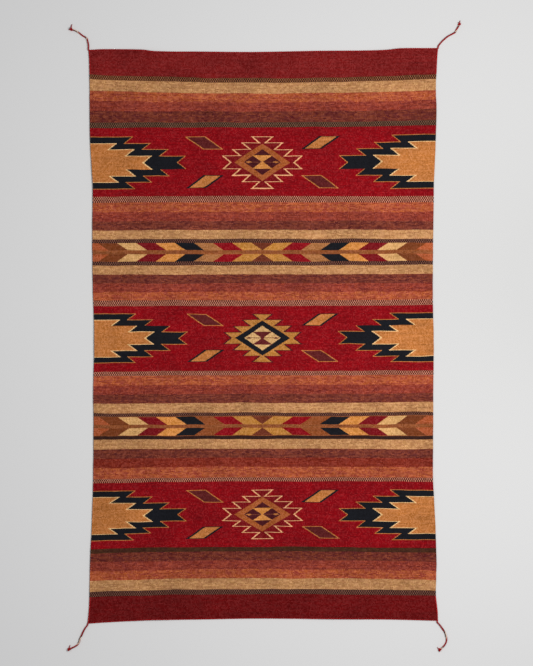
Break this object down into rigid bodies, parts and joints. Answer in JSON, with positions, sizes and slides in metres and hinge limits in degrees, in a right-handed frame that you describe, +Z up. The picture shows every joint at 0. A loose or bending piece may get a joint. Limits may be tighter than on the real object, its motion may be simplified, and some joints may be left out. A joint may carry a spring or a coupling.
{
  "type": "wool blanket",
  "caption": "Flat tapestry-woven wool blanket with banded stripes, stepped diamonds, feather bands, twined end cords and knotted corner cords.",
  "frame": {"origin": "on the surface that the blanket lies on, under the middle of the box round the cloth and its two end cords", "axes": "+Z up out of the cloth's face; +Y along the warp, towards the end shown at the top; +X across, towards the side shown at the right"},
  "size_m": [1.0469, 1.6771, 0.0063],
  "materials": {
    "woven_wool": "weft-faced tapestry weave in wool: deep red, blue-black, gold, rust, rose, maroon and tan, with fine ribs along the length",
    "twined_cord": "dark red wool cord twined over the warp ends",
    "corner_cord": "loose plied wool cord in red with an undyed and a dark strand",
    "cord_knot": "the same red wool cord drawn into a tight knot"
  },
  "bodies": {
    "root": {"cloth": "woven_wool", "end_cord_top": "twined_cord", "end_cord_bottom": "twined_cord", "cord_top_left": "corner_cord", "cord_top_right": "corner_cord", "cord_bottom_left": "corner_cord", "cord_bottom_right": "corner_cord", "knot_top_left": "cord_knot", "knot_top_right": "cord_knot", "knot_bottom_left": "cord_knot", "knot_bottom_right": "cord_knot"}
  },
  "joints": []
}
